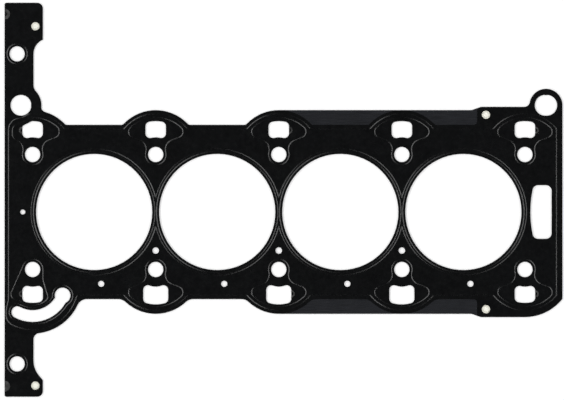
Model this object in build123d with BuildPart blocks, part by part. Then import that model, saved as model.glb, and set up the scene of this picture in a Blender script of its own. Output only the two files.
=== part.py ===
from build123d import *
import os
from math import atan, degrees, sqrt

# Multi-layer-steel cylinder head gasket for a four-cylinder engine: two embossed bead sheets with a plain
# carrier sheet between them, a stopper ring welded to the carrier round each bore, and four rivets.
# Frame, in millimetres: the origin is the centre of the head bolt grid, on the surface the gasket lies on.
# +X runs along the row of cylinders, +Y points to the dowel side and +Z to the cylinder head.

os.makedirs("parts", exist_ok=True)

# ---------------------------------------------------------------- sheets and pressing
bead_sheet_thickness = 0.25
carrier_thickness = 0.42
bead_height = 0.22               # step of every bead, full or half
flank_width = 0.7                # run of a half bead's slope
stopper_thickness = 0.12
stopper_width = 1.15

# ---------------------------------------------------------------- cylinders and head bolts
cylinder_count = 4
bore_spacing = 79.0
bore_diameter = 74.5
bore_lip = 1.3                   # flat lip between a bore and its bead
bore_flank = 0.85                # run of each slope of a full bead
bore_bead_floor = 0.7            # flat bottom of a full bead
bolt_row_gap = 73.8              # between the two rows of head bolts
head_bolt_hole = 9.75

# ---------------------------------------------------------------- outline
left_margin = 18.0               # first bolt column to the left edge
right_margin = 24.1              # last bolt column to the right edge
deck_half_width = 55.95          # straight long edges of the bead sheets
lobe_radius = 28.5               # round each head bolt
kidney_lobe_radius = 31.9        # round the kidney passage, in place of the first lower lobe
corner_radius = 30.6             # lower right corner, centred on the last lower bolt
strip_step = 2.1                 # the carrier's straight long edges lie this far inside the tabs'
tab_inset = 30.7                 # last bolt column to the left side of the two riveted tabs
tab_corner = 2.3                 # where a tab's side meets the straight edge
ramp_lead = 3.6                  # slanted step up to the tab: this far left of its side,
ramp_run = 6.0                   # and so long
ramp_fillet = 4.0
foot_fillet = 6.5                # where the lower lobes leave the straight edge
crotch_fillet = 2.0              # where the upper lobes leave it
blunt_corner = 1.5

# ---------------------------------------------------------------- timing-side arms
arm_width = 18.6
arm_head_width = 24.6
upper_arm_end = 134.3
lower_arm_end = -118.6
upper_neck = 101.4               # where the upper arm starts to widen
neck_radius = 10.0
lower_neck = -100.9
lower_shoulder = -107.9
lower_neck_fillet = 15.0
arm_head_corner = 3.7
arm_back_corner = 1.2
arm_root_fillet = 3.9            # lower arm into the kidney lobe
arm_bolt_inset = 8.05            # from the left edge
upper_arm_bolt = 101.5
lower_arm_bolt = -97.5
arm_bolt_hole = 9.7
arm_ring_radius = 6.5            # half bead round each arm bolt

# ---------------------------------------------------------------- dowels
dowel_row = 68.5                 # height of both dowels above the bolt grid's centre line
left_dowel_inset = 10.5          # from the left edge
left_dowel_hole = 13.3
left_boss_radius = 13.2
left_boss_fillet = 3.0           # boss into the first lobe
left_boss_neck = 6.0             # boss into the upper arm
right_dowel_hole = 13.3
right_dowel_play = 1.0           # the right hole is that much longer than wide
right_boss_radius = 10.6
right_boss_fillet = 3.6
nib_reach = 0.2                  # small nib of the carrier that grips the dowel
nib_width = 1.6

# ---------------------------------------------------------------- passages
passage_inner_radius = 11.05     # both arcs of a passage are centred on its bolt
passage_outer_radius = 21.4
passage_width = 13.1
wide_passage_outer_radius = 22.4
wide_passage_width = 16.0
passage_corner = 3.0
clip_rise = 21.6                 # slanted corner of the first upper passage, above its bolt
clip_slope = 0.507
kidney_centre_drop = 9.3         # centre of the kidney's arc below the first lower bolt
kidney_radius = 20.6
kidney_width = 7.5
kidney_start = 241.5             # degrees, left end
kidney_sweep = 97.5
kidney_bulb_radius = 5.0         # round right end
end_passage_left = 43.0          # from the last cylinder's axis
end_passage_width = 13.6
end_passage_length = 34.4
end_passage_bow = 72.0           # radius of its bowed side
end_passage_corner = 3.6
vent_hole = 4.1                  # between the bores, on the exhaust side
vent_row = -24.75
metering_hole = 3.9              # one beside each bore
metering_row = -46.1
metering_offset = 4.5            # from the bore's axis
left_vent_hole = 3.15
left_vent_inset = 11.7           # from the left edge
notch_shift = 0.6                # notches sit that much nearer to the bolts than the passages' middle
notch_radius = 2.3               # half-round notch beside a passage, in the upper sheet
notch_core_radius = 1.3          # and the smaller one in the carrier
edge_notch_radius = 3.5          # half-round identification notches in the left edge
edge_notch_core_radius = 1.5
upper_edge_notch = 127.0
lower_edge_notch = -111.8

# ---------------------------------------------------------------- half beads (centre lines of the slopes)
field_margin = 2.65              # straight long edges of the bead sheets to the outer half bead
field_lobe_radius = 26.2         # and round the head bolts
field_left_inset = 2.5           # from the left edge
field_left_inset_low = 0.95      # beside the kidney
field_jog_drop = 9.75            # below the kidney's centre, where it starts to step out from one to the other
field_right_inset = 3.9          # from the right edge
kidney_field_radius = 29.3
field_corner = 7.2
island_ring_radius = 6.6         # inner half bead round a head bolt
island_cap_radius = 23.8         # and beyond its passage
island_fork = 5.4                # where the undersides of the two wings would meet, beyond the bolt
island_slope = 0.378             # rise of those undersides
island_neck_fillet = 6.4
island_wing_fillet = 3.8
slant_fillet = 7.0               # where the slanted stretches beside the dowel meet the lobe
first_island_left = 13.0         # shorter wings of the first upper island
first_island_right = 17.0
first_island_gap = 2.5           # slanted half beads beside the first upper passage
kidney_bead_gap = 1.5            # kidney to its half bead
lower_island_radius = 13.6       # first lower island's far side, centred with the kidney
teardrop_lean_run = 0.444        # sideways run of its straight side, per unit of height
teardrop_heel = 10.5             # its left foot, below the kidney's centre
teardrop_reach = 10.1            # its right foot, beside the kidney's centre
teardrop_heel_fillet = 4.0
teardrop_toe_fillet = 3.0

# ---------------------------------------------------------------- rivets
rivet_head_diameter = 5.3
rivet_shank_diameter = 3.0
rivet_dimple_depth = 0.1
rivet_dimple_floor = 0.6         # across the dimple's flat bottom
rivet_edge = 0.06
arm_rivet_inset = 19.8           # from the left edge
upper_arm_rivet = 119.2
lower_arm_rivet = -111.4
tab_rivet_inset = 25.0           # from the last bolt column
tab_rivet_row = 62.4

# ---------------------------------------------------------------- worked-out places
bolt_row = bolt_row_gap / 2
bore_radius = bore_diameter / 2
columns = [(i - cylinder_count / 2) * bore_spacing for i in range(cylinder_count + 1)]
bores = [(columns[i] + bore_spacing / 2, 0) for i in range(cylinder_count)]
first_column = columns[0]
last_column = columns[-1]
left_edge = first_column - left_margin
right_edge = last_column + right_margin
arm_edge = left_edge + arm_width
arm_head_edge = left_edge + arm_head_width
tab_edge = last_column - tab_inset
tab_half_width = bolt_row + corner_radius
strip_half_width = tab_half_width - strip_step
field_half_width = deck_half_width - field_margin
ramp_start = tab_edge - ramp_lead
ramp_end = ramp_start + ramp_run
upper_bolts = [(x, bolt_row) for x in columns]
lower_bolts = [(x, -bolt_row) for x in columns]
arm_bolts = [(left_edge + arm_bolt_inset, y) for y in (upper_arm_bolt, lower_arm_bolt)]
left_dowel = (left_edge + left_dowel_inset, dowel_row)
right_dowel = (right_edge - right_boss_radius, dowel_row)
kidney_centre = (first_column, -bolt_row - kidney_centre_drop)
strip_start = columns[len(columns) // 2]
far_out = 400.0                  # beyond every outline

carrier_base = bead_height + bead_sheet_thickness
carrier_top = carrier_base + carrier_thickness
flank_angle = degrees(atan(flank_width / bead_height))
half_flank = flank_width / 2
cos_slope = 1 / sqrt(1 + clip_slope**2)


def block(left, bottom, right, top, mode=Mode.ADD):
    """Rectangle given by its sides."""
    with Locations(((left + right) / 2, (bottom + top) / 2)):
        Rectangle(right - left, top - bottom, mode=mode)


def corner_at(sketch, x, y):
    """The corner of a sketch nearest to a point."""
    return sketch.vertices().sort_by_distance((x, y, 0))[0]


def drop(radius, reach):
    """Height of a circle's edge above its centre, at a sideways distance."""
    return sqrt(radius**2 - reach**2)


# ---------------------------------------------------------------- openings
def bolt_passage(width, outer_radius, clipped=False):
    """Squarish passage beyond a bolt at the origin, between two arcs centred on the bolt."""
    with BuildSketch() as opening:
        Circle(outer_radius)
        Circle(passage_inner_radius, mode=Mode.SUBTRACT)
        block(-width / 2, 0, width / 2, 2 * outer_radius, mode=Mode.INTERSECT)
        if clipped:
            Polygon(
                (-far_out, clip_rise - clip_slope * far_out),
                (far_out, clip_rise + clip_slope * far_out),
                (-far_out, far_out),
                align=None,
                mode=Mode.SUBTRACT,
            )
            fillet(corner_at(opening, -width / 2, outer_radius), passage_corner / 2)
            fillet(corner_at(opening, width / 2, outer_radius), passage_corner)
            fillet(opening.vertices().group_by(Axis.Y)[0], passage_corner)
        else:
            fillet(opening.vertices(), passage_corner)
    return opening.sketch


narrow_passage = bolt_passage(passage_width, passage_outer_radius)
wide_passage = bolt_passage(wide_passage_width, wide_passage_outer_radius)


def end_passage():
    """Tall passage at the end of the block, bowed out towards the last bore."""
    left = bores[-1][0] + end_passage_left
    right = left + end_passage_width
    top = end_passage_length / 2
    with BuildSketch() as opening:
        with Locations((left + end_passage_bow, 0)):
            Circle(end_passage_bow)
        block(left, -top, right, top, mode=Mode.INTERSECT)
        fillet(opening.vertices(), end_passage_corner)
    return opening.sketch


def kidney_passage():
    """Arc-shaped slot round the first lower passage, with a round bulb at its right end."""
    with BuildLine() as spine:
        CenterArc(kidney_centre, kidney_radius, kidney_start, kidney_sweep)
    with BuildSketch() as opening:
        SlotArc(spine.edge(), kidney_width)
        with Locations(spine.edge() @ 1):
            Circle(kidney_bulb_radius)
    return opening.sketch


kidney = kidney_passage()


def place_passages(place):
    """Adds every passage: place() is called once for each, with its sketch, its bolt and its turn."""
    for i, (x, y) in enumerate(upper_bolts):
        place(bolt_passage(passage_width, passage_outer_radius, clipped=i == 0), (x, y), 0)
    for i, (x, y) in enumerate(lower_bolts):
        at_an_end = i in (0, len(columns) - 1)
        place(narrow_passage if at_an_end else wide_passage, (x, y), 180)


def add_turned(sketch, place, turn):
    """Adds a sketch at a place, turned about its own origin by some degrees."""
    with Locations(Location((*place, 0), (0, 0, turn))):
        add(sketch)


def openings(bore_size):
    """Every opening that goes through all the sheets."""
    with BuildSketch() as holes:
        with Locations(*bores):
            Circle(bore_size)
        with Locations(*upper_bolts, *lower_bolts):
            Circle(head_bolt_hole / 2)
        with Locations(*arm_bolts):
            Circle(arm_bolt_hole / 2)
        with Locations(left_dowel):
            Circle(left_dowel_hole / 2)
        with Locations(right_dowel):
            SlotOverall(right_dowel_hole + right_dowel_play, right_dowel_hole)
        with Locations(*[(x, vent_row) for x in columns[1:-1]]):
            Circle(vent_hole / 2)
        with Locations(*[(x + metering_offset, metering_row) for x, _ in bores]):
            Circle(metering_hole / 2)
        with Locations((left_edge + left_vent_inset, 0)):
            Circle(left_vent_hole / 2)
        place_passages(add_turned)
        add(end_passage())
        add(kidney)
    return holes.sketch


# ---------------------------------------------------------------- outlines
def lobe_feet(radius, half_width, centre_height, centres):
    """Places where round lobes run out of a straight edge, left and right of each centre."""
    reach = sqrt(radius**2 - (half_width - centre_height) ** 2)
    return [x - reach for x in centres], [x + reach for x in centres]


def add_arms(outline):
    """The two timing-side arms, with their widened heads and rounded corners."""
    block(left_edge, 0, arm_edge, upper_arm_end)
    block(left_edge, upper_neck, arm_head_edge, upper_arm_end)
    with Locations((arm_edge + neck_radius, upper_neck)):
        Circle(neck_radius, mode=Mode.SUBTRACT)
    block(left_edge, lower_arm_end, arm_edge, 0)
    Polygon(
        (arm_edge, lower_neck),
        (arm_edge, lower_arm_end),
        (arm_head_edge, lower_arm_end),
        (arm_head_edge, lower_shoulder),
        align=None,
    )
    for end in (upper_arm_end, lower_arm_end):
        fillet(corner_at(outline, arm_head_edge, end), arm_head_corner)
        fillet(corner_at(outline, left_edge, end), arm_back_corner)
    fillet(corner_at(outline, arm_head_edge, lower_shoulder), blunt_corner)
    fillet(corner_at(outline, arm_edge, lower_neck), lower_neck_fillet)


def sheet_outline(is_carrier):
    """Outline of a sheet. The carrier runs straight where the bead sheets follow the lobes."""
    tab_start = ramp_start if is_carrier else tab_edge
    with BuildSketch() as outline:
        block(left_edge, -deck_half_width, last_column, deck_half_width)
        block(last_column, -bolt_row, right_edge, bolt_row)
        block(right_dowel[0], 0, right_edge, dowel_row)
        with Locations(*upper_bolts, *lower_bolts[1:-1]):
            Circle(lobe_radius)
        with Locations(lower_bolts[-1]):
            Circle(corner_radius)
        with Locations(kidney_centre):
            Circle(kidney_lobe_radius)
        with Locations(left_dowel):
            Circle(left_boss_radius)
        block(left_edge, -far_out, right_edge, far_out, mode=Mode.INTERSECT)
        with Locations(right_dowel):
            Circle(right_boss_radius)
        if is_carrier:
            block(strip_start, -strip_half_width, tab_edge, strip_half_width)
        block(tab_start, 0, right_dowel[0], tab_half_width)
        block(tab_start, -tab_half_width, last_column, 0)
        for side in (1, -1):
            Polygon(
                (ramp_start, side * strip_half_width),
                (ramp_end, side * tab_half_width),
                (ramp_start, side * tab_half_width),
                align=None,
                mode=Mode.SUBTRACT,
            )
        add_arms(outline)

        boss_top = dowel_row + drop(left_boss_radius, arm_edge - left_dowel[0])
        fillet(corner_at(outline, arm_edge, boss_top), left_boss_neck)
        fillet(corner_at(outline, left_dowel[0] + left_boss_radius, dowel_row), left_boss_fillet)
        kidney_bottom = kidney_centre[1] - kidney_lobe_radius
        fillet(corner_at(outline, arm_edge, kidney_bottom), arm_root_fillet)
        kidney_foot = kidney_centre[0] + drop(kidney_lobe_radius, deck_half_width + kidney_centre[1])
        fillet(corner_at(outline, kidney_foot, -deck_half_width), foot_fillet)
        fillet(corner_at(outline, right_dowel[0] - right_boss_radius, tab_half_width), right_boss_fillet)
        fillet(corner_at(outline, right_edge, -deck_half_width), blunt_corner)

        last_lobe = len(columns) // 2 + 1 if is_carrier else len(columns) - 1
        lefts, rights = lobe_feet(lobe_radius, deck_half_width, bolt_row, columns)
        upper_feet = lefts[1:last_lobe] + rights[: last_lobe - (1 if is_carrier else 0)]
        lower_feet = lefts[1:last_lobe] + rights[1 : last_lobe - (1 if is_carrier else 0)]
        for x in upper_feet:
            fillet(corner_at(outline, x, deck_half_width), crotch_fillet)
        for x in lower_feet:
            fillet(corner_at(outline, x, -deck_half_width), foot_fillet)
        for side in (1, -1):
            fillet(corner_at(outline, ramp_end, side * tab_half_width), ramp_fillet)
            if is_carrier:
                fillet(corner_at(outline, ramp_start, side * strip_half_width), ramp_fillet)
            else:
                fillet(corner_at(outline, tab_edge, side * deck_half_width), tab_corner)
    return outline.sketch


# ---------------------------------------------------------------- half beads
def raised_field():
    """Foot of the outer half bead: the whole sealing field inside the outline."""
    left = left_edge + field_left_inset
    low_left = left_edge + field_left_inset_low
    right = right_edge - field_right_inset
    jog = kidney_centre[1] - field_jog_drop
    with BuildSketch() as kidney_field:
        with Locations(kidney_centre):
            Circle(kidney_field_radius)
        Polygon(
            (left, -bolt_row),
            (left, jog),
            (low_left, jog - field_corner),
            (low_left, -far_out),
            (far_out, -far_out),
            (far_out, -bolt_row),
            align=None,
            mode=Mode.INTERSECT,
        )
        low_corner = kidney_centre[1] - drop(kidney_field_radius, kidney_centre[0] - low_left)
        fillet(corner_at(kidney_field, low_left, low_corner), field_corner)
    with BuildSketch() as field:
        block(left, -field_half_width, right, field_half_width)
        with Locations(*upper_bolts, *lower_bolts[1:]):
            Circle(field_lobe_radius)
        block(left, -far_out, right, far_out, mode=Mode.INTERSECT)
        block(left, 0, first_column, bolt_row + field_lobe_radius)
        slant_x = first_column - passage_width / 2
        slant_y = bolt_row + clip_rise + 2 * first_island_gap / cos_slope - clip_slope * passage_width / 2
        Polygon(
            (slant_x + far_out, slant_y + clip_slope * far_out),
            (slant_x, slant_y),
            (left, slant_y - clip_slope * (slant_x - left) / 2),
            (left, slant_y + far_out),
            align=None,
            mode=Mode.SUBTRACT,
        )
        fillet(corner_at(field, left, slant_y), field_corner)
        crest_y = bolt_row + field_lobe_radius
        fillet(corner_at(field, slant_x + (crest_y - slant_y) / clip_slope, crest_y), slant_fillet)
        add(kidney_field.sketch)
        lefts, rights = lobe_feet(field_lobe_radius, field_half_width, bolt_row, columns)
        for x in lefts[1:] + rights[:-1]:
            fillet(corner_at(field, x, field_half_width), blunt_corner)
        for x in lefts[1:] + rights[1:-1]:
            fillet(corner_at(field, x, -field_half_width), blunt_corner)
        kidney_foot = kidney_centre[0] + drop(kidney_field_radius, field_half_width + kidney_centre[1])
        fillet(corner_at(field, kidney_foot, -field_half_width), blunt_corner)
        for y in (bolt_row, -bolt_row):
            side = 1 if y > 0 else -1
            height = drop(field_lobe_radius, right - last_column)
            fillet(corner_at(field, right, y + side * height), blunt_corner)
    return field.sketch


def island(left_reach=None, right_reach=None, slanted=False):
    """Mushroom-shaped ground round a bolt at the origin and its passage, inside its half bead."""
    with BuildSketch() as cap:
        Circle(island_cap_radius)
        Polygon(
            (0, island_fork),
            (far_out, island_fork + island_slope * far_out),
            (-far_out, island_fork + island_slope * far_out),
            align=None,
            mode=Mode.INTERSECT,
        )
        if left_reach:
            block(-left_reach, -far_out, right_reach, far_out, mode=Mode.INTERSECT)
        if slanted:
            rise = clip_rise + first_island_gap / cos_slope
            Polygon(
                (-far_out, rise - clip_slope * far_out),
                (far_out, rise + clip_slope * far_out),
                (-far_out, far_out),
                align=None,
                mode=Mode.SUBTRACT,
            )
        if slanted:
            fillet(corner_at(cap, 0, island_cap_radius), slant_fillet)
        tips = [v for v in cap.vertices() if abs(v.X) > island_ring_radius]
        fillet(tips, island_wing_fillet)
    with BuildSketch() as ground:
        add(cap.sketch)
        Circle(island_ring_radius)
        necks = ground.vertices().filter_by_position(Axis.Y, 0, island_ring_radius)
        fillet(necks, island_neck_fillet)
    return ground.sketch


def first_lower_island():
    """Teardrop-shaped ground round the first lower bolt and its passage, its far side following the kidney."""
    bolt_x, bolt_y = lower_bolts[0]
    centre_x, centre_y = kidney_centre
    lean_x = teardrop_lean_run / sqrt(1 + teardrop_lean_run**2)
    lean_y = 1 / sqrt(1 + teardrop_lean_run**2)
    side_start = (bolt_x - island_ring_radius * lean_y, bolt_y + island_ring_radius * lean_x)
    heel_y = centre_y - teardrop_heel
    heel = (side_start[0] - (side_start[1] - heel_y) * teardrop_lean_run, heel_y)
    far_left = (centre_x - drop(lower_island_radius, teardrop_heel), heel_y)
    far_right = (centre_x + teardrop_reach, centre_y - drop(lower_island_radius, teardrop_reach))
    waist = (bolt_x + island_ring_radius, bolt_y - island_ring_radius)
    with BuildSketch() as ground:
        with BuildLine():
            Polyline(far_right, waist, (waist[0], bolt_y), (bolt_x, bolt_y), side_start, heel, far_left)
            ThreePointArc(far_left, (centre_x, centre_y - lower_island_radius), far_right)
        make_face()
        with Locations(lower_bolts[0]):
            Circle(island_ring_radius)
        fillet(corner_at(ground, *heel), teardrop_heel_fillet)
        fillet(corner_at(ground, *far_right), teardrop_toe_fillet)
        fillet(corner_at(ground, *waist), island_neck_fillet)
    return ground.sketch


def grown(sketch, amount):
    """A sketch whose sides stand further out."""
    with BuildSketch() as larger:
        add(sketch)
        offset(amount=amount)
    return larger.sketch


def low_ground():
    """Tops of every pocket pressed into the raised field: round the bolts, the passages and the kidney."""
    common = grown(island(), half_flank)
    first = grown(island(first_island_left, first_island_right, slanted=True), half_flank)
    with BuildSketch() as ground:
        for i, place in enumerate(upper_bolts):
            add_turned(common if i else first, place, 0)
        for place in lower_bolts[1:]:
            add_turned(common, place, 180)
        add(grown(first_lower_island(), half_flank))
        add(grown(kidney, kidney_bead_gap + half_flank))
    return ground.sketch


# ---------------------------------------------------------------- pressing shared by both bead sheets
inner_foot = bore_radius + bore_lip
inner_floor = inner_foot + bore_flank
outer_floor = inner_floor + bore_bead_floor
outer_foot = outer_floor + bore_flank
on_base = (Align.CENTER, Align.CENTER, Align.MIN)

with BuildPart() as pockets:
    add(low_ground())
    extrude(amount=bead_height, taper=flank_angle)

with BuildPart() as bore_beads:
    with Locations(*bores):
        Cone(outer_foot, outer_floor, bead_height, align=on_base)
    with Locations(*bores):
        Cone(inner_foot, inner_floor, bead_height, align=on_base, mode=Mode.SUBTRACT)

with BuildPart() as sunk:
    add(pockets.part)
    add(bore_beads.part)
    mirror(about=Plane.XY.offset(bead_height / 2), mode=Mode.REPLACE)

with BuildPart() as pressing:
    add(grown(raised_field(), half_flank))
    extrude(amount=bead_height, taper=flank_angle)
    add(sunk.part, mode=Mode.SUBTRACT)
    with BuildSketch() as arm_rings:
        with Locations(*arm_bolts):
            Circle(arm_ring_radius + half_flank)
    extrude(amount=bead_height, taper=flank_angle)


# ---------------------------------------------------------------- bead sheets
rivet_places = {
    "rivet_upper_arm": (left_edge + arm_rivet_inset, upper_arm_rivet),
    "rivet_lower_arm": (left_edge + arm_rivet_inset, lower_arm_rivet),
    "rivet_upper_tab": (last_column - tab_rivet_inset, tab_rivet_row),
    "rivet_lower_tab": (last_column - tab_rivet_inset, -tab_rivet_row),
}
passage_side = passage_width / 2
notch_row = bolt_row + (passage_inner_radius + passage_outer_radius) / 2 - notch_shift
notch_places = [
    (first_column - passage_side, notch_row),
    (strip_start + passage_side, notch_row),
    (last_column + passage_side, notch_row),
    (first_column - passage_side, -notch_row),
    (strip_start + wide_passage_width / 2, -notch_row),
    (last_column + passage_side, -notch_row),
]
edge_notch_places = [(left_edge, upper_edge_notch), (left_edge, lower_edge_notch)]

with BuildSketch() as through_openings:
    add(openings(bore_radius))
    with Locations(*rivet_places.values()):
        Circle(rivet_shank_diameter / 2)

with BuildPart() as bead_sheet:
    add(sheet_outline(is_carrier=False))
    extrude(amount=bead_sheet_thickness)
    with Locations((0, 0, bead_sheet_thickness)):
        add(pressing.part)
    add(pressing.part, mode=Mode.SUBTRACT)
    add(through_openings.sketch)
    extrude(amount=bead_sheet_thickness + bead_height, mode=Mode.SUBTRACT)

with BuildPart() as upper_bead_layer:
    with Locations((0, 0, carrier_top)):
        add(bead_sheet.part)
    with BuildSketch(Plane.XY.offset(carrier_top)):
        with Locations(*notch_places):
            Circle(notch_radius)
        with Locations(*edge_notch_places):
            Circle(edge_notch_radius)
    extrude(amount=bead_sheet_thickness + bead_height, mode=Mode.SUBTRACT)

with BuildPart() as lower_bead_layer:
    add(bead_sheet.part)
    mirror(about=Plane.XY.offset(carrier_base / 2), mode=Mode.REPLACE)

# ---------------------------------------------------------------- carrier and its stopper rings
with BuildPart() as carrier_layer:
    with BuildSketch(Plane.XY.offset(carrier_base)):
        add(sheet_outline(is_carrier=True))
        add(through_openings.sketch, mode=Mode.SUBTRACT)
        with Locations(*notch_places):
            Circle(notch_core_radius, mode=Mode.SUBTRACT)
        with Locations(edge_notch_places[0]):
            Circle(edge_notch_core_radius, mode=Mode.SUBTRACT)
        nib_tip = left_dowel[0] + left_dowel_hole / 2 - nib_reach
        block(nib_tip, dowel_row - nib_width / 2, nib_tip + nib_width, dowel_row + nib_width / 2)
        nib_tip = dowel_row + right_dowel_hole / 2 - nib_reach
        block(right_dowel[0] - nib_width / 2, nib_tip, right_dowel[0] + nib_width / 2, nib_tip + nib_width)
    extrude(amount=carrier_thickness)

layers = {
    "upper_bead_layer": upper_bead_layer.part,
    "carrier_layer": carrier_layer.part,
    "lower_bead_layer": lower_bead_layer.part,
}
for name, layer in layers.items():
    layer.label = name
    export_step(layer, f"parts/{name}.step")

for number, place in enumerate(bores, start=1):
    with BuildPart() as stopper_ring:
        with BuildSketch(Plane.XY.offset(carrier_top)):
            with Locations(place):
                Circle(bore_radius + stopper_width)
                Circle(bore_radius, mode=Mode.SUBTRACT)
        extrude(amount=stopper_thickness)
    stopper_ring.part.label = f"stopper_ring_{number}"
    export_step(stopper_ring.part, f"parts/stopper_ring_{number}.step")

# ---------------------------------------------------------------- rivets
rivet_length = carrier_top + bead_sheet_thickness + bead_height
for name, (x, y) in rivet_places.items():
    with BuildPart() as rivet:
        with Locations((x, y, 0)):
            Cylinder(rivet_shank_diameter / 2, rivet_length, align=on_base)
        with Locations((x, y, 0), (x, y, rivet_length - bead_height)):
            Cylinder(rivet_head_diameter / 2, bead_height, align=on_base)
        rims = rivet.edges().filter_by(GeomType.CIRCLE).group_by(Axis.Z)
        chamfer(rims[0] + rims[-1], rivet_edge)
        with Locations((x, y, rivet_length - rivet_dimple_depth)):
            Cone(
                rivet_dimple_floor / 2,
                rivet_shank_diameter / 2,
                rivet_dimple_depth,
                align=on_base,
                mode=Mode.SUBTRACT,
            )
    rivet.part.label = name
    export_step(rivet.part, f"parts/{name}.step")
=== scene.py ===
"""Cylinder head gasket: formed and coated bead sheets, a rolled steel carrier, rivets and a studio stage."""
import math

import bmesh
import bpy
import numpy as np
from bpy.props import FloatProperty, FloatVectorProperty, IntProperty, PointerProperty
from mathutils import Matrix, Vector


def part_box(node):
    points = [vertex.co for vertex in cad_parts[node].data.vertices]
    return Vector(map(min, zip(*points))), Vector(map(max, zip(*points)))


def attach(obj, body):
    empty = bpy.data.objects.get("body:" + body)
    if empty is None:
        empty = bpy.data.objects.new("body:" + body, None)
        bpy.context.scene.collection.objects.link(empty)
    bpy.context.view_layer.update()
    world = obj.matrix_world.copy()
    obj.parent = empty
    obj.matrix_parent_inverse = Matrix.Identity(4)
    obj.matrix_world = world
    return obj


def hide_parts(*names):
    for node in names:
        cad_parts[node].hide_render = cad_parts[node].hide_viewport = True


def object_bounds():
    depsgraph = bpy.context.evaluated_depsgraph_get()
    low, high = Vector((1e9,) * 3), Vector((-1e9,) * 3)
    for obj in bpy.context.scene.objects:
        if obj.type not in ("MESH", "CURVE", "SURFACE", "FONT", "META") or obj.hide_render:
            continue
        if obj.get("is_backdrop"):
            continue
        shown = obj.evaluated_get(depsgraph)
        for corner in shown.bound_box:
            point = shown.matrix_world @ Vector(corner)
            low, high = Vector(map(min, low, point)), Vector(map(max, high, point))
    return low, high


bl_info = {
    "name": "Cylinder Head Gasket",
    "version": (1, 0, 0),
    "blender": (4, 5, 0),
    "location": "3D View > Sidebar > Gasket",
    "description": "Multi-layer steel head gasket with formed beads, rivets and a studio stage",
    "category": "Object",
}

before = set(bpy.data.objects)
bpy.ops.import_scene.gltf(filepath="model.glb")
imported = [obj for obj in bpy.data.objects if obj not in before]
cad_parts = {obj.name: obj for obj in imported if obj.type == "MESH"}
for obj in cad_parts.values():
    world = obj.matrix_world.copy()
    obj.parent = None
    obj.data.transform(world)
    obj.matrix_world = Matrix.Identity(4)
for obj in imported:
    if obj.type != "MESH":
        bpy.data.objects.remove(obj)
CAD_BOX = [list(corner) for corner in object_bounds()]

MM = 0.001
UPPER_SHEET = "upper_bead_layer"
LOWER_SHEET = "lower_bead_layer"
CARRIER = "carrier_layer"
STOPPER_RINGS = sorted(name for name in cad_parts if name.startswith("stopper_ring"))
RIVETS = sorted(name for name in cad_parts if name.startswith("rivet"))

# Notches, where the carrier shows beside the passages of three bolt columns and in the left edge. Round them
# the carrier is painted brighter, a painted highlight for the light their edges catch.
OUTER_COLUMN = 158.0 * MM
PASSAGE_SIDE = 6.55 * MM
WIDE_PASSAGE_SIDE = 8.0 * MM
NOTCH_ROW = 52.525 * MM
LEFT_EDGE = CAD_BOX[0][0]
OUTER_SIDE = OUTER_COLUMN + PASSAGE_SIDE
OUTER_NOTCHES = [(side * OUTER_SIDE, half * NOTCH_ROW) for side in (-1, 1) for half in (-1, 1)]
MIDDLE_NOTCHES = [(PASSAGE_SIDE, NOTCH_ROW), (WIDE_PASSAGE_SIDE, -NOTCH_ROW)]
EDGE_NOTCHES = [(LEFT_EDGE, 127.0 * MM), (LEFT_EDGE, -111.8 * MM)]
NOTCHES = OUTER_NOTCHES + MIDDLE_NOTCHES + EDGE_NOTCHES

# How far a face's normal points up or down: less than UPRIGHT on punched edges, more than SLOPING on the
# beads' slopes and more than LEVEL on flats. Points and heights that differ by less than SAME_PLACE are one.
UPRIGHT = 0.35
SLOPING = 0.55
LEVEL = 0.9999
SAME_PLACE = 1e-7
WHITE = (1.0, 1.0, 1.0, 1.0)


# ---------------------------------------------------------------- settings
class GasketCoatSettings(bpy.types.PropertyGroup):
    """Black elastomer coat of the two bead sheets."""

    sheet_gauge: FloatProperty(
        name="Sheet gauge", description="Thickness of a coated bead sheet",
        default=0.25 * MM, unit="LENGTH", precision=5,
    )
    bead_softness: FloatProperty(
        name="Bead softness", description="How far a bead's slope bends into an S-curve, from 0 for straight",
        default=0.7, min=0.0, max=1.0, subtype="FACTOR",
    )
    coat_colour: FloatVectorProperty(
        name="Coat colour", description="Colour of the elastomer coat",
        default=(0.0022, 0.0024, 0.0027), size=3, min=0.0, max=1.0, subtype="COLOR",
    )
    coat_mottle: FloatVectorProperty(
        name="Coat mottle", description="Colour of the slightly thinner patches of coat",
        default=(0.0034, 0.0037, 0.0041), size=3, min=0.0, max=1.0, subtype="COLOR",
    )
    coat_grain: FloatProperty(
        name="Coat grain", description="Size of the coat's fine texture",
        default=0.35 * MM, unit="LENGTH", precision=5,
    )
    edge_colour: FloatVectorProperty(
        name="Punched edge", description="Colour of the bare steel at the punched edges",
        default=(0.16, 0.16, 0.165), size=3, min=0.0, max=1.0, subtype="COLOR",
    )


class GasketSteelSettings(bpy.types.PropertyGroup):
    """Bare steel of the carrier and its stopper rings."""

    carrier_colour: FloatVectorProperty(
        name="Carrier colour", description="Dark, dull rolled steel of the carrier sheet",
        default=(0.165, 0.172, 0.195), size=3, min=0.0, max=1.0, subtype="COLOR",
    )
    ring_colour: FloatVectorProperty(
        name="Ring colour", description="Stainless steel of the stopper rings",
        default=(0.52, 0.53, 0.54), size=3, min=0.0, max=1.0, subtype="COLOR",
    )
    # Painted highlight: a brighter steel colour put round the notches for the light their edges catch.
    notch_highlight_colour: FloatVectorProperty(
        name="Coined steel", description="Brighter steel where the press has burnished the notches",
        default=(0.46, 0.46, 0.455), size=3, min=0.0, max=1.0, subtype="COLOR",
    )
    cut_colour: FloatVectorProperty(
        name="Punched edge", description="Steel at the punched edges",
        default=(0.2, 0.205, 0.215), size=3, min=0.0, max=1.0, subtype="COLOR",
    )
    rolling_line: FloatProperty(
        name="Rolling line", description="Width of the fine lines left by rolling",
        default=0.3 * MM, unit="LENGTH", precision=5,
    )


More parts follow.
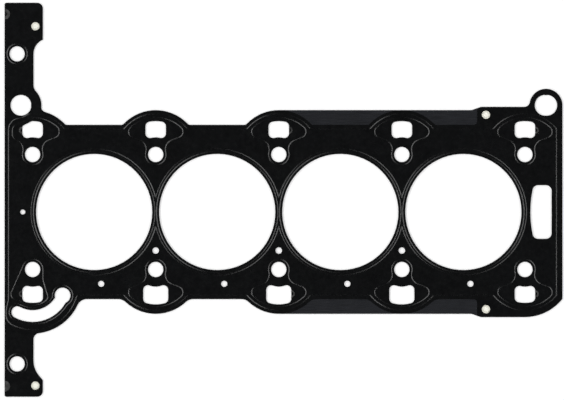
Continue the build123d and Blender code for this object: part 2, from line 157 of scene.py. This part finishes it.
class GasketRivetSettings(bpy.types.PropertyGroup):
    """Rivets that hold the three sheets together."""

    rivet_colour: FloatVectorProperty(
        name="Rivet colour", description="Pale plated finish in the middle of the rivets",
        default=(0.98, 0.975, 0.88), size=3, min=0.0, max=1.0, subtype="COLOR",
    )
    # Painted shade: a rivet's colour darkens to this towards its rim, with duller patches of plating in it.
    shaded_rim_colour: FloatVectorProperty(
        name="Rim colour", description="Duller finish towards a rivet's rim",
        default=(0.8, 0.79, 0.69), size=3, min=0.0, max=1.0, subtype="COLOR",
    )
    turns: IntProperty(name="Turns", description="Steps round a rivet", default=48, min=12, max=128)


class GasketStageSettings(bpy.types.PropertyGroup):
    """Floor, lamps and camera."""

    floor_colour: FloatVectorProperty(
        name="Floor", description="Colour of the plain pale floor",
        default=(0.6, 0.6, 0.6), size=3, min=0.0, max=1.0, subtype="COLOR",
    )
    floor_glow: FloatProperty(
        name="Floor lift", description="How much the floor is lifted towards white where the camera sees it",
        default=0.48, min=0.0, max=1.0,
    )
    left_power: FloatProperty(
        name="Left lamps", description="Power of the arc of wide lamps on the left",
        default=400.0, unit="POWER",
    )
    right_power: FloatProperty(
        name="Right lamps", description="Power of the arc of narrow lamps on the right",
        default=190.0, unit="POWER",
    )
    sky_low: FloatProperty(
        name="Sky, low", description="Brightness of the surroundings near the floor",
        default=0.4, min=0.0,
    )
    sky_left: FloatProperty(
        name="Sky, left", description="Extra brightness of the surroundings on the left",
        default=0.4, min=0.0,
    )
    sky_right: FloatProperty(
        name="Sky, right", description="Extra brightness of the surroundings on the right",
        default=0.25, min=0.0,
    )
    sky_high: FloatProperty(
        name="Sky, high", description="Brightness of the surroundings overhead",
        default=0.015, min=0.0,
    )
    millimetres_per_pixel: FloatProperty(
        name="Millimetres per pixel", description="Scale of the picture", default=0.6418, min=0.1,
    )
    aim: FloatVectorProperty(
        name="Aim", description="Point of the gasket at the picture's centre",
        default=(2.07 * MM, 7.7 * MM), size=2, unit="LENGTH", precision=5,
    )


# ---------------------------------------------------------------- node helpers
class Finish:
    """A material with a Principled shader, and short ways to add nodes to it."""

    def __init__(self, name, **sockets):
        self.material = bpy.data.materials.new(name)
        self.material.use_nodes = True
        self.nodes = self.material.node_tree.nodes
        self.links = self.material.node_tree.links
        self.shader = self.nodes["Principled BSDF"]
        for socket, value in sockets.items():
            self.shader.inputs[socket.replace("_", " ")].default_value = value
        self.place = self.nodes.new("ShaderNodeTexCoord").outputs["Object"]

    def node(self, kind, inputs=None, **settings):
        """Add a node, set its properties, and fill its inputs with values or links."""
        made = self.nodes.new(kind)
        for key, value in settings.items():
            setattr(made, key, value)
        for key, value in (inputs or {}).items():
            if isinstance(value, bpy.types.NodeSocket):
                self.links.new(value, made.inputs[key])
            else:
                made.inputs[key].default_value = value
        return made

    def noise(self, size, stretch=(1.0, 1.0, 1.0), detail=3.0, roughness=0.5):
        """Noise whose features are about that many metres across, stretched by a factor along each axis."""
        scale = [1.0 / (size * factor) for factor in stretch]
        vector = self.node("ShaderNodeMapping", {"Vector": self.place, "Scale": scale}).outputs["Vector"]
        inputs = {"Vector": vector, "Scale": 1.0, "Detail": detail, "Roughness": roughness}
        return self.node("ShaderNodeTexNoise", inputs).outputs["Fac"]

    def math(self, operation, *values):
        """Arithmetic on numbers or links."""
        return self.node("ShaderNodeMath", dict(enumerate(values)), operation=operation).outputs["Value"]

    def flattened(self):
        """Place with its height taken out."""
        flat = self.node("ShaderNodeVectorMath", {0: self.place, 1: (1.0, 1.0, 0.0)}, operation="MULTIPLY")
        return flat.outputs["Vector"]

    def ranged(self, value, low, high, to_low=0.0, to_high=1.0, smooth=False):
        """Value mapped from one range to another, clamped."""
        inputs = {"Value": value, "From Min": low, "From Max": high, "To Min": to_low, "To Max": to_high}
        kind = "SMOOTHSTEP" if smooth else "LINEAR"
        return self.node("ShaderNodeMapRange", inputs, interpolation_type=kind).outputs["Result"]

    def blend(self, factor, first, second):
        """Colour between two colours or links."""
        linked = bpy.types.NodeSocket
        first, second = (tone if isinstance(tone, linked) else (*tone, 1.0) for tone in (first, second))
        return self.node("ShaderNodeMix", {0: factor, 6: first, 7: second}, data_type="RGBA").outputs[2]

    def mixed(self, factor, first, second):
        """Number between two numbers or links."""
        return self.node("ShaderNodeMix", {0: factor, 2: first, 3: second}, data_type="FLOAT").outputs[0]

    def near(self, places, reach, edge=0.08):
        """1 within reach of any of the places, seen from above, and 0 beyond it, with a thin fade between."""
        flat = self.flattened()
        nearest = 2 * reach
        for x, y in places:
            apart = self.node("ShaderNodeVectorMath", {0: flat, 1: (x, y, 0.0)}, operation="DISTANCE")
            nearest = self.math("MINIMUM", nearest, apart.outputs["Value"])
        return self.ranged(nearest, (1 - edge) * reach, reach, 1.0, 0.0)

    def bump(self, height, depth, strength=0.3):
        """Bump from a height of 0 to 1 that stands for a depth in metres."""
        inputs = {"Height": height, "Distance": depth, "Strength": strength}
        return self.node("ShaderNodeBump", inputs).outputs["Normal"]

    def feed(self, **sockets):
        """Link outputs to the shader's sockets."""
        for socket, value in sockets.items():
            self.links.new(value, self.shader.inputs[socket.replace("_", " ")])

    def steepness(self):
        """1 on upright faces, such as punched edges, and 0 on level ones and on the beads' slopes."""
        normal = self.node("ShaderNodeNewGeometry").outputs["True Normal"]
        upward = self.node("ShaderNodeSeparateXYZ", {"Vector": normal}).outputs["Z"]
        return self.ranged(self.math("ABSOLUTE", upward), UPRIGHT, SLOPING, 1.0, 0.0)


# ---------------------------------------------------------------- finishes
# Patches, stains and specks are given by their size, textures by their depth, and a roughness that varies by
# its least and its most. Noise between the two values of EVEN, SHARP or SPARSE makes a whole change of tone.
EVEN = (0.3, 0.7)
SHARP = (0.35, 0.65)
SPARSE = (0.35, 0.7)

COAT_PATCH = 9.0 * MM
COAT_SATIN_PATCH = 2.2 * MM
COAT_DEPTH = 0.006 * MM
COAT_ROUGHNESS = (0.22, 0.28)
LOWER_COAT_END = (0.1, 0.14)
TORN_END = (0.45, 0.6)
UPPER_COAT_START = (0.86, 0.9)
TORN_ROUGHNESS = 0.55
SHEARED_ROUGHNESS = 0.3

STAIN = 14.0 * MM
STAIN_SHADE = 0.85
ROLLING_STRETCH = 40.0
ROLLING_DEPTH = 0.002 * MM
CARRIER_ROUGHNESS = (0.24, 0.3)
RING_ROUGHNESS = (0.22, 0.32)
# Reach, patches and roughness of the painted highlight round the notches.
NOTCH_HIGHLIGHT_REACH = 4.0 * MM
NOTCH_HIGHLIGHT_PATCH = 2.5 * MM
NOTCH_HIGHLIGHT_ROUGHNESS = (0.22, 0.29)
CUT_ROUGHNESS = 0.45

PLATING_PATCH = 0.9 * MM
PLATING_SHADE = 0.74
# Shares of a rivet's radius across which the painted shade darkens it towards its rim.
RIM_SHADE_SPAN = (0.35, 0.85)
PLATING_SPECKLE = 0.4 * MM
PLATING_DEPTH = 0.01 * MM
PLATING_ROUGHNESS = (0.35, 0.5)


def coat_finish(settings):
    """Satin black elastomer. Punched edges show the bare core: sheared smooth above and torn rough below."""
    finish = Finish("elastomer_coat", Specular_IOR_Level=0.4)
    through = finish.node("ShaderNodeAttribute", attribute_name="through").outputs["Fac"]
    over_lower_coat = finish.ranged(through, *LOWER_COAT_END)
    under_upper_coat = finish.ranged(through, *UPPER_COAT_START, 1.0, 0.0)
    core = finish.math("MULTIPLY", over_lower_coat, under_upper_coat)
    bare = finish.math("MULTIPLY", core, finish.steepness())
    patches = finish.ranged(finish.noise(COAT_PATCH, detail=4.0), *SPARSE)
    coat = finish.blend(patches, settings.coat_colour, settings.coat_mottle)
    satin = finish.ranged(finish.noise(COAT_SATIN_PATCH, detail=4.0), *EVEN, *COAT_ROUGHNESS)
    punched = finish.ranged(through, *TORN_END, TORN_ROUGHNESS, SHEARED_ROUGHNESS)
    finish.feed(
        Base_Color=finish.blend(bare, coat, settings.edge_colour),
        Metallic=bare,
        Roughness=finish.mixed(bare, satin, punched),
        Normal=finish.bump(finish.noise(settings.coat_grain, detail=2.0), COAT_DEPTH),
    )
    return finish.material


def rolled_finish(name, settings, colour, roughness, highlighted_notches=()):
    """Rolled steel with fine lines along its length, painted brighter round the notches as a painted
    highlight, and dull where punched.
    """
    finish = Finish(name, Metallic=1.0)
    stretch = (ROLLING_STRETCH, 1.0, 1.0)
    lines = finish.noise(settings.rolling_line, stretch=stretch, detail=4.0, roughness=0.6)
    stains = finish.ranged(finish.noise(STAIN, detail=5.0), *SPARSE)
    tone = finish.blend(stains, colour, [STAIN_SHADE * channel for channel in colour])
    satin = finish.ranged(lines, *EVEN, *roughness)
    if highlighted_notches:
        # Painted highlight: round the notches the carrier is painted brighter and made smoother.
        notch_highlight = finish.near(highlighted_notches, NOTCH_HIGHLIGHT_REACH)
        patches = finish.ranged(finish.noise(NOTCH_HIGHLIGHT_PATCH, detail=4.0), *SHARP, *NOTCH_HIGHLIGHT_ROUGHNESS)
        tone = finish.blend(notch_highlight, tone, settings.notch_highlight_colour)
        satin = finish.mixed(notch_highlight, satin, patches)
    punched = finish.steepness()
    finish.feed(
        Base_Color=finish.blend(punched, tone, settings.cut_colour),
        Roughness=finish.mixed(punched, satin, CUT_ROUGHNESS),
        Normal=finish.bump(lines, ROLLING_DEPTH),
    )
    return finish.material


def rivet_finish(settings, radius):
    """Pale plated rivet, bright in its middle and darker towards its rim, a painted shade, with duller
    plating in patches there.
    """
    finish = Finish("rivet_plating")
    reach = finish.node("ShaderNodeVectorMath", {0: finish.flattened()}, operation="LENGTH").outputs["Value"]
    shade_start, shade_end = (share * radius for share in RIM_SHADE_SPAN)
    # Painted shade: the colour fades from the pale middle to the darker rim colour.
    rim = finish.ranged(reach, shade_start, shade_end, smooth=True)
    patches = finish.ranged(finish.noise(PLATING_PATCH), *SHARP)
    worn_and_shaded_rim = finish.blend(patches, settings.shaded_rim_colour, [PLATING_SHADE * tone for tone in settings.shaded_rim_colour])
    speckle = finish.noise(PLATING_SPECKLE)
    finish.feed(
        Base_Color=finish.blend(rim, settings.rivet_colour, worn_and_shaded_rim),
        Roughness=finish.ranged(speckle, *EVEN, *PLATING_ROUGHNESS),
        Normal=finish.bump(speckle, PLATING_DEPTH),
    )
    return finish.material


def add(name, data):
    """Add an object to the scene."""
    made = bpy.data.objects.new(name, data)
    bpy.context.scene.collection.objects.link(made)
    return made


def dress(piece, material):
    """Give the whole piece one material."""
    piece.data.materials.clear()
    piece.data.materials.append(material)


# ---------------------------------------------------------------- formed bead sheets
# A slope is cut at the bend levels, which are shares of its rise. Faces that turn from their neighbours' mean
# by less than the smooth limits are shaded as one.
BEND_LEVELS = (0.08, 0.22, 0.41, 0.59, 0.78, 0.92)
CUT_SNAP = 1e-8
SMOOTH_WALL = math.cos(math.radians(35))
SMOOTH_SLOPE = math.cos(math.radians(45))


def formed(share, softness):
    """Height of a pressed slope, 0 to 1, at that share of its run: an S-curve with level ends."""
    curve = share * share * (3 - 2 * share)
    return softness * curve + (1 - softness) * share


def attribute(items, name, kind=np.float64, width=1):
    """Array of one property of all of a mesh's points, corners or faces."""
    values = np.empty(len(items) * width, kind)
    items.foreach_get(name, values)
    return values.reshape(-1, width) if width > 1 else values


def corner_normals(mesh, level_heights):
    """Normals for every corner: level on flats and where slopes start, smooth on slopes and punched edges."""
    vertex = attribute(mesh.loops, "vertex_index", np.int32)
    count = attribute(mesh.polygons, "loop_total", np.int32)
    area = attribute(mesh.polygons, "area")
    face_normal = attribute(mesh.polygons, "normal", width=3)
    height = attribute(mesh.vertices, "co", width=3)[:, 2]
    face = np.repeat(np.arange(len(mesh.polygons)), count)
    own = face_normal[face]
    lift = np.abs(own[:, 2])
    level, upright = lift > LEVEL, lift < UPRIGHT
    slope = ~level & ~upright
    result = own.copy()
    for kind, limit in ((upright, SMOOTH_WALL), (slope, SMOOTH_SLOPE)):
        total = np.zeros((len(mesh.vertices), 3))
        np.add.at(total, vertex[kind], own[kind] * area[face[kind]][:, None])
        mean = total[vertex]
        mean /= np.maximum(np.linalg.norm(mean, axis=1), 1e-30)[:, None]
        close = kind & (np.einsum("ij,ij->i", mean, own) > limit)
        result[close] = mean[close]
    at_level = np.min(np.abs(height[vertex][:, None] - np.array(level_heights)), axis=1) < SAME_PLACE
    flat = level | (slope & at_level)
    result[flat] = np.column_stack([np.zeros((flat.sum(), 2)), np.sign(own[flat, 2])])
    return result


def bend(shape, skins, softness):
    """Cut the slopes at the bend levels, and bend them into S-curves between each skin's two heights."""
    up = (0, 0, 1)
    for bottom, top in skins:
        for share in BEND_LEVELS:
            slopes = [face for face in shape.faces if UPRIGHT < abs(face.normal.z) < LEVEL]
            geometry = {part for face in slopes for part in (face, *face.edges, *face.verts)}
            cut = (0, 0, bottom + share * (top - bottom))
            bmesh.ops.bisect_plane(shape, geom=list(geometry), dist=CUT_SNAP, plane_co=cut, plane_no=up)
            shape.normal_update()
    for vertex in shape.verts:
        for bottom, top in skins:
            if bottom < vertex.co.z < top:
                share = (vertex.co.z - bottom) / (top - bottom)
                vertex.co.z = bottom + formed(share, softness) * (top - bottom)
    shape.normal_update()


def formed_sheet(name, node, settings):
    """Copy of a bead sheet whose straight slopes are bent into S-curves, as a press forms them."""
    low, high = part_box(node)
    rise = high[2] - low[2] - settings.sheet_gauge
    if rise <= 0:
        raise RuntimeError("the bead sheet is no taller than its own gauge")
    skins = ((low[2], low[2] + rise), (high[2] - rise, high[2]))
    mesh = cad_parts[node].data.copy()
    shape = bmesh.new()
    shape.from_mesh(mesh)
    bmesh.ops.remove_doubles(shape, verts=shape.verts, dist=SAME_PLACE)
    shape.normal_update()
    bend(shape, skins, settings.bead_softness)
    # From 0 on the lower face to 1 on the upper one, so that it tells how far up a punched edge a place is.
    through = shape.verts.layers.float.new("through")
    for vertex in shape.verts:
        vertex[through] = float(any(face.normal.z > UPRIGHT for face in vertex.link_faces))
    mesh.clear_geometry()
    shape.to_mesh(mesh)
    shape.free()
    mesh.name = name
    mesh.shade_smooth()
    level_heights = [height for skin in skins for height in skin]
    mesh.normals_split_custom_set(corner_normals(mesh, level_heights).tolist())
    return add(name, mesh)


class GASKET_OT_bead_sheets(bpy.types.Operator):
    """Form the two coated bead sheets with soft bends and give them their coat"""

    bl_idname = "gasket.bead_sheets"
    bl_label = "Bead Sheets"

    def execute(self, context):
        settings = context.scene.gasket_coat
        coat = coat_finish(settings)
        for name, node in (("upper_sheet_skin", UPPER_SHEET), ("lower_sheet_skin", LOWER_SHEET)):
            sheet = formed_sheet(name, node, settings)
            dress(sheet, coat)
            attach(sheet, "root")
            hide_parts(node)
        return {"FINISHED"}


class GASKET_OT_carrier(bpy.types.Operator):
    """Give the carrier sheet and its stopper rings their bare steel"""

    bl_idname = "gasket.carrier"
    bl_label = "Carrier and Stopper Rings"

    def execute(self, context):
        settings = context.scene.gasket_steel
        steel = rolled_finish("rolled_steel", settings, settings.carrier_colour, CARRIER_ROUGHNESS, NOTCHES)
        dress(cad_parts[CARRIER], steel)
        stainless = rolled_finish("stopper_steel", settings, settings.ring_colour, RING_ROUGHNESS)
        for name in STOPPER_RINGS:
            dress(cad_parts[name], stainless)
        return {"FINISHED"}


# ---------------------------------------------------------------- rivets
# Shares of a rivet's radius and height. The rim's rounding is a share of the head, and the set mark's steps
# are shares of the shank.
SHANK_SHARE = 0.57
HEAD_SHARE = 0.162
RIM_SHARE = 0.35
RIM_STEPS = 4
MARK_SHARE = 0.075
MARK_FLOOR = 0.12
MARK_STEPS = (0.45, 0.7, 0.85, 0.95)
SHARP_ANGLE = math.radians(40)


def rivet_profile(radius, height):
    """Half section of a rivet from its axis at the top to its axis at the bottom: (reach, height) points."""
    shank = SHANK_SHARE * radius
    head = HEAD_SHARE * height
    rim = RIM_SHARE * head
    mark = MARK_SHARE * height

    def rounded(middle, start):
        angles = [math.radians(start - 90 * step / RIM_STEPS) for step in range(RIM_STEPS + 1)]
        return [(radius - rim + rim * math.cos(angle), middle + rim * math.sin(angle)) for angle in angles]

    points = [(0.0, height - mark), (MARK_FLOOR * radius, height - mark)]
    points += [(shank * share, height - mark * (1 - share**3)) for share in MARK_STEPS]
    points += [(shank, height), *rounded(height - rim, 90)]
    points += [(radius, height - head), (shank, height - head), (shank, head), (radius, head)]
    points += [*rounded(rim, 0), (0.0, 0.0)]
    return points


def turned(name, profile, turns):
    """Mesh of a profile turned about the upright axis, which its first and last point lie on."""
    shape = bmesh.new()
    angles = [math.tau * turn / turns for turn in range(turns)]
    (_, top), *steps, (_, bottom) = profile
    above, below = shape.verts.new((0.0, 0.0, top)), shape.verts.new((0.0, 0.0, bottom))
    rings = []
    for reach, height in steps:
        places = [(reach * math.cos(angle), reach * math.sin(angle), height) for angle in angles]
        rings.append([shape.verts.new(place) for place in places])
    for turn in range(turns):
        shape.faces.new((above, rings[0][turn - 1], rings[0][turn]))
        for upper, lower in zip(rings, rings[1:]):
            shape.faces.new((upper[turn - 1], lower[turn - 1], lower[turn], upper[turn]))
        shape.faces.new((below, rings[-1][turn], rings[-1][turn - 1]))
    mesh = bpy.data.meshes.new(name)
    shape.to_mesh(mesh)
    shape.free()
    mesh.shade_smooth()
    mesh.set_sharp_from_angle(angle=SHARP_ANGLE)
    return mesh


class GASKET_OT_rivets(bpy.types.Operator):
    """Turn the four rivets, with rounded rims and a set mark, and plate them"""

    bl_idname = "gasket.rivets"
    bl_label = "Rivets"

    def execute(self, context):
        settings = context.scene.gasket_rivets
        low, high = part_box(RIVETS[0])
        radius = (high[0] - low[0]) / 2
        mesh = turned("rivet", rivet_profile(radius, high[2] - low[2]), settings.turns)
        finish = rivet_finish(settings, radius)
        for node in RIVETS:
            low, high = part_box(node)
            rivet = add(f"{node}_turned", mesh.copy())
            rivet.location = ((low[0] + high[0]) / 2, (low[1] + high[1]) / 2, low[2])
            dress(rivet, finish)
            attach(rivet, "root")
            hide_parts(node)
        return {"FINISHED"}


# ---------------------------------------------------------------- stage
# Lamps are placed in metres, and in degrees round the gasket and from overhead. The surroundings fade with
# how far a direction points along an axis: 0 is square to it and 1 is straight along it.
LAMP_DISTANCE = 8.0
LEFT_AZIMUTHS = (138, 180, 222)
LEFT_FROM_OVERHEAD = 38.5
LEFT_LAMP_SIZE = (4.4, 1.84)
RIGHT_AZIMUTHS = (-27, 0, 27)
RIGHT_FROM_OVERHEAD = 38.0
RIGHT_LAMP_SIZE = (3.0, 0.8)
SIDE_FADE = (0.05, 0.5)
LOW_FADE = (0.15, 0.65)
HIGH_FADE = (0.76, 0.88)
FLOOR_SPREAD = 30
FLOOR_GAP = 0.01 * MM
CAMERA_LENS = 600.0
CAMERA_REACH = 100.0
PICTURE_WIDTH = 564


def lamp_arc(name, azimuths, from_overhead, size, power):
    """Arc of like rectangular lamps that shine on the gasket and share that power."""
    for azimuth in azimuths:
        data = bpy.data.lights.new(f"{name}_{azimuth}", "AREA")
        data.shape = "RECTANGLE"
        data.size, data.size_y = size
        data.energy = power / len(azimuths)
        made = add(data.name, data)
        turn, tilt = math.radians(azimuth), math.radians(from_overhead)
        made.location = (
            LAMP_DISTANCE * math.sin(tilt) * math.cos(turn),
            LAMP_DISTANCE * math.sin(tilt) * math.sin(turn),
            LAMP_DISTANCE * math.cos(tilt),
        )
        made.rotation_euler = made.location.to_track_quat("Z", "Y").to_euler()


def floor_finish(settings):
    """Plain pale floor, lifted to white where the camera or a reflection sees it."""
    finish = Finish("pale_floor", Roughness=0.9)
    finish.shader.inputs["Base Color"].default_value = (*settings.floor_colour, 1.0)
    finish.shader.inputs["Emission Color"].default_value = WHITE
    path = finish.node("ShaderNodeLightPath").outputs
    seen = finish.math("MAXIMUM", path["Is Camera Ray"], path["Is Glossy Ray"])
    seen = finish.math("MAXIMUM", seen, path["Is Transmission Ray"])
    finish.feed(Emission_Strength=finish.ranged(seen, 0.0, 1.0, 0.0, settings.floor_glow))
    return finish.material


def surroundings(settings):
    """Soft surroundings: bright near the floor and on both sides, dim overhead."""
    world = bpy.data.worlds.new("studio")
    world.use_nodes = True
    nodes, links = world.node_tree.nodes, world.node_tree.links
    split = nodes.new("ShaderNodeSeparateXYZ")
    links.new(nodes.new("ShaderNodeTexCoord").outputs["Generated"], split.inputs["Vector"])

    def fade(axis, start, end, from_strength, to_strength):
        """Strength that changes smoothly between two places along an axis of the direction looked in."""
        made = nodes.new("ShaderNodeMapRange")
        made.interpolation_type = "SMOOTHSTEP"
        links.new(split.outputs[axis], made.inputs["Value"])
        limits = {"From Min": start, "From Max": end, "To Min": from_strength, "To Max": to_strength}
        for key, value in limits.items():
            made.inputs[key].default_value = value
        return made.outputs["Result"]

    middle, side = SIDE_FADE
    sides = nodes.new("ShaderNodeMath")
    sides.operation = "ADD"
    links.new(fade("X", -side, -middle, settings.sky_left, 0.0), sides.inputs[0])
    links.new(fade("X", middle, side, 0.0, settings.sky_right), sides.inputs[1])
    total = nodes.new("ShaderNodeMath")
    total.operation = "MULTIPLY_ADD"
    links.new(sides.outputs["Value"], total.inputs[0])
    links.new(fade("Z", *HIGH_FADE, 1.0, 0.0), total.inputs[1])
    links.new(fade("Z", *LOW_FADE, settings.sky_low, settings.sky_high), total.inputs[2])
    links.new(total.outputs["Value"], nodes["Background"].inputs["Strength"])
    nodes["Background"].inputs["Color"].default_value = WHITE
    bpy.context.scene.world = world


def lay_floor(settings, low, high):
    """Wide floor just under the gasket."""
    shape = bmesh.new()
    bmesh.ops.create_grid(shape, x_segments=1, y_segments=1, size=FLOOR_SPREAD * (high - low).length)
    mesh = bpy.data.meshes.new("floor")
    shape.to_mesh(mesh)
    shape.free()
    floor = add("floor", mesh)
    floor.location = (0, 0, low[2] - FLOOR_GAP)
    dress(floor, floor_finish(settings))
    floor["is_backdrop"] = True


def set_camera(settings, top):
    """Camera straight overhead, as far off as its long lens needs for the picture's scale."""
    data = bpy.data.cameras.new("camera")
    data.lens = CAMERA_LENS
    data.clip_end = CAMERA_REACH
    width = PICTURE_WIDTH * settings.millimetres_per_pixel * MM
    camera = add("camera", data)
    camera.location = (*settings.aim, top + data.lens / data.sensor_width * width)
    bpy.context.scene.camera = camera


class GASKET_OT_stage(bpy.types.Operator):
    """Set out the pale floor, the lamps, the surroundings and the camera overhead"""

    bl_idname = "gasket.stage"
    bl_label = "Stage"

    def execute(self, context):
        settings = context.scene.gasket_stage
        low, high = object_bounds()
        lay_floor(settings, low, high)
        surroundings(settings)
        lamp_arc("left_lamp", LEFT_AZIMUTHS, LEFT_FROM_OVERHEAD, LEFT_LAMP_SIZE, settings.left_power)
        lamp_arc("right_lamp", RIGHT_AZIMUTHS, RIGHT_FROM_OVERHEAD, RIGHT_LAMP_SIZE, settings.right_power)
        set_camera(settings, high[2])
        context.scene.view_settings.view_transform = "Standard"
        return {"FINISHED"}


# ---------------------------------------------------------------- panel
class GASKET_PT_panel(bpy.types.Panel):
    """Sizes, colours and steps of the gasket"""

    bl_label = "Head Gasket"
    bl_idname = "GASKET_PT_panel"
    bl_space_type = "VIEW_3D"
    bl_region_type = "UI"
    bl_category = "Gasket"

    def draw(self, context):
        scene = context.scene
        for group, operator in (
            (scene.gasket_coat, GASKET_OT_bead_sheets),
            (scene.gasket_steel, GASKET_OT_carrier),
            (scene.gasket_rivets, GASKET_OT_rivets),
            (scene.gasket_stage, GASKET_OT_stage),
        ):
            section = self.layout.box()
            for name in group.__annotations__:
                section.prop(group, name)
            section.operator(operator.bl_idname)


SETTINGS = {
    "gasket_coat": GasketCoatSettings,
    "gasket_steel": GasketSteelSettings,
    "gasket_rivets": GasketRivetSettings,
    "gasket_stage": GasketStageSettings,
}
OPERATORS = [GASKET_OT_bead_sheets, GASKET_OT_carrier, GASKET_OT_rivets, GASKET_OT_stage]
CLASSES = [*SETTINGS.values(), *OPERATORS, GASKET_PT_panel]


def register():
    """Register the settings, the steps and the panel."""
    for cls in CLASSES:
        bpy.utils.register_class(cls)
    for name, group in SETTINGS.items():
        setattr(bpy.types.Scene, name, PointerProperty(type=group))


def unregister():
    """Take them off again."""
    for name in SETTINGS:
        delattr(bpy.types.Scene, name)
    for cls in reversed(CLASSES):
        bpy.utils.unregister_class(cls)


def main():
    """Make every piece and the stage."""
    register()
    bpy.ops.gasket.bead_sheets()
    bpy.ops.gasket.carrier()
    bpy.ops.gasket.rivets()
    bpy.ops.gasket.stage()
    bpy.context.view_layer.update()


if __name__ == "__main__":
    main()
